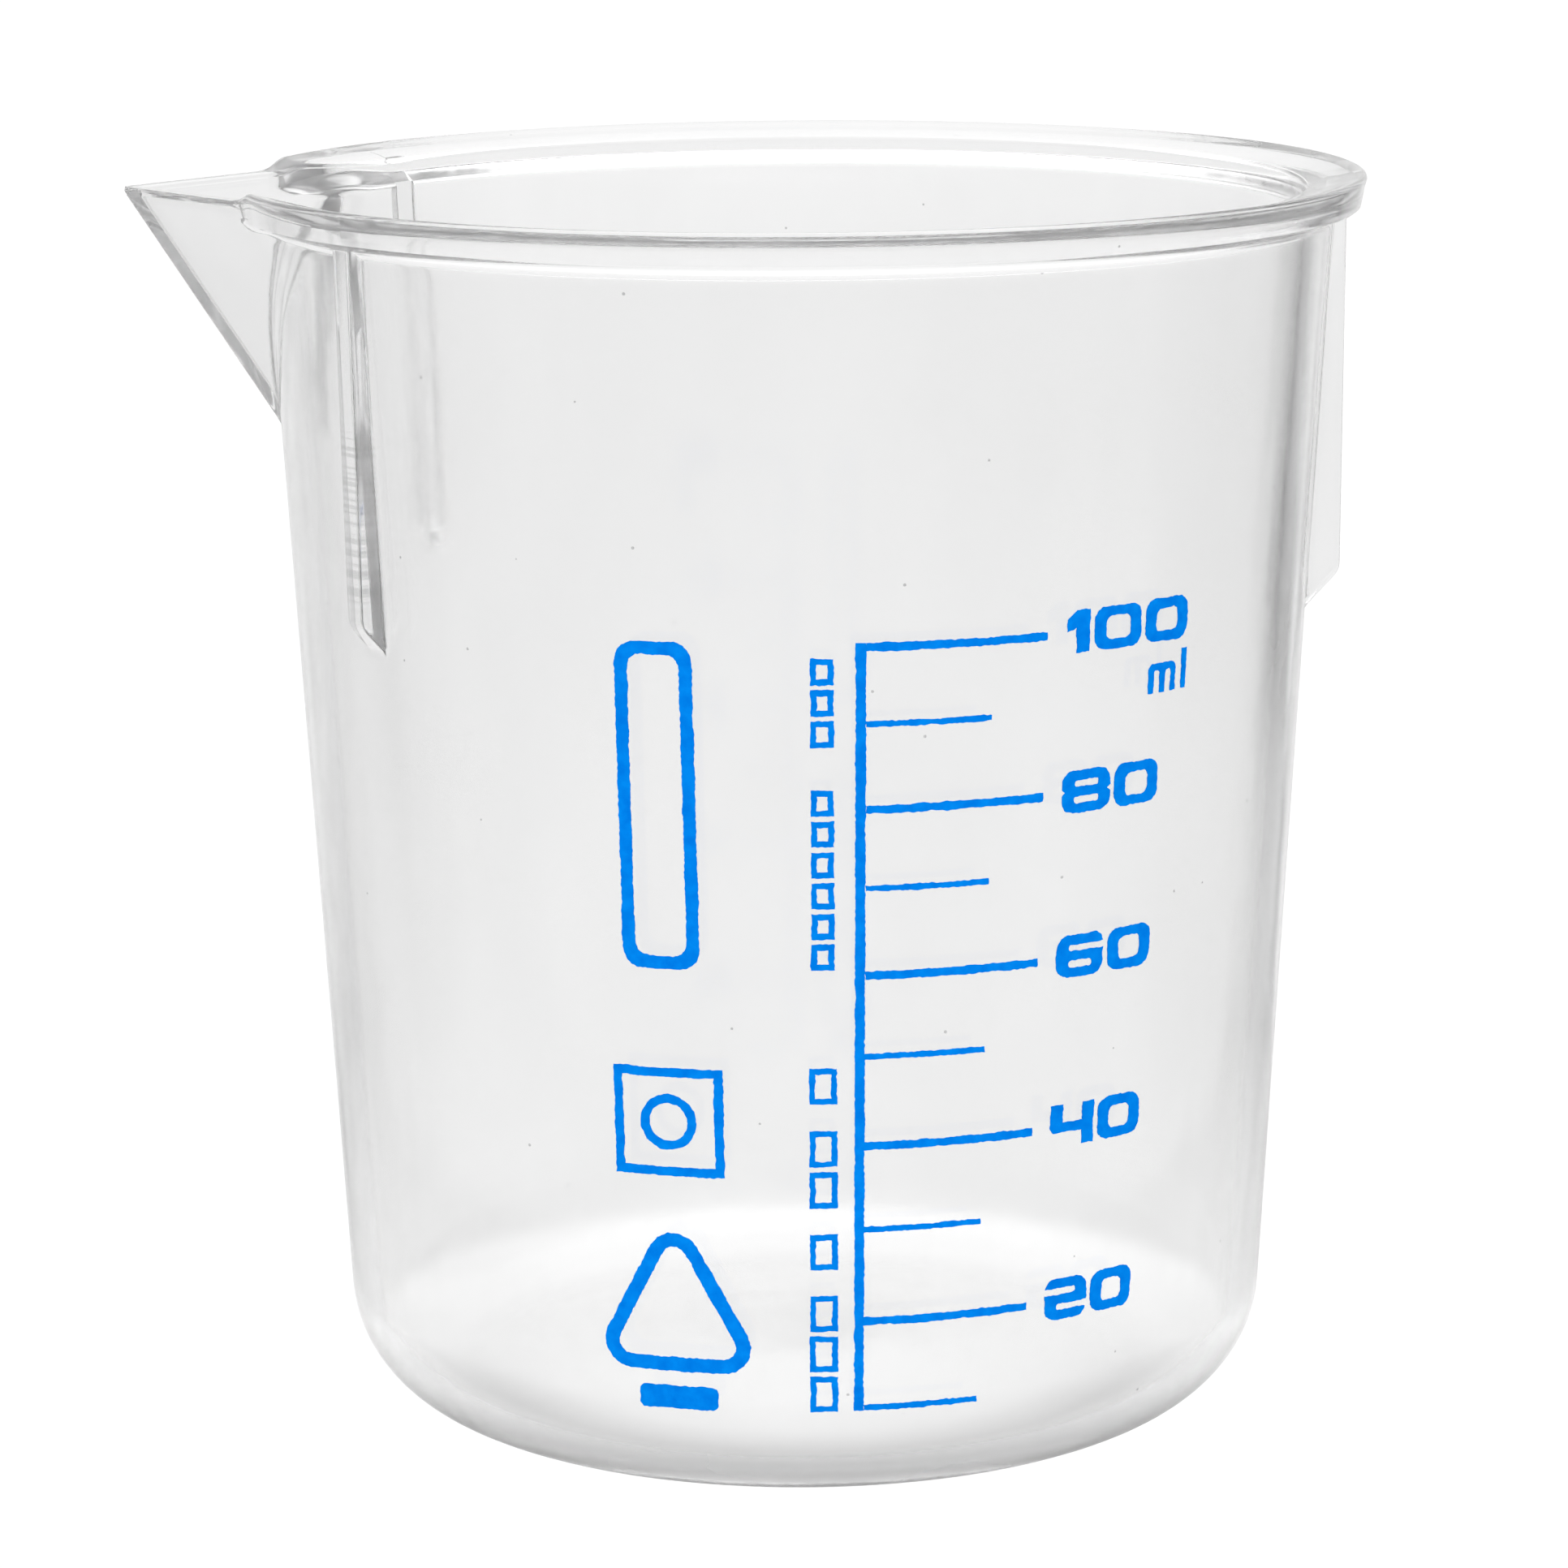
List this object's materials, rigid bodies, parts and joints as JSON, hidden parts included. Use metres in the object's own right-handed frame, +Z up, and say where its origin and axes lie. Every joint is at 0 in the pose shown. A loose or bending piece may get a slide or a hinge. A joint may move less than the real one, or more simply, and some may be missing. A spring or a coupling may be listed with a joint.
{
  "type": "laboratory beaker",
  "caption": "Squat clear plastic beaker with a flanged rim, V-shaped pouring spout, stacking fins and a blue printed volume scale.",
  "frame": {"origin": "on the vessel's axis, in the plane of the foot it stands on", "axes": "+Z up along the vessel's axis, -X towards the spout, -Y towards the printed scale"},
  "size_m": [0.0698, 0.0636, 0.0705],
  "materials": {
    "clear_plastic": "clear, colourless moulded plastic, glossy, with faint rubbing marks",
    "blue_ink": "opaque bright blue screen-printed ink with slightly ragged edges"
  },
  "bodies": {
    "root": {"beaker_body": "clear_plastic", "scale_spine": "blue_ink", "graduation_20": "blue_ink", "graduation_40": "blue_ink", "graduation_60": "blue_ink", "graduation_80": "blue_ink", "graduation_100": "blue_ink", "half_graduation_10": "blue_ink", "half_graduation_30": "blue_ink", "half_graduation_50": "blue_ink", "half_graduation_70": "blue_ink", "half_graduation_90": "blue_ink", "numeral_20": "blue_ink", "numeral_40": "blue_ink", "numeral_60": "blue_ink", "numeral_80": "blue_ink", "numeral_100": "blue_ink", "unit_mark": "blue_ink", "write_on_panel": "blue_ink", "square_mark": "blue_ink", "triangle_mark": "blue_ink", "short_bar": "blue_ink", "upper_box_row": "blue_ink", "lower_box_row": "blue_ink"}
  },
  "joints": []
}
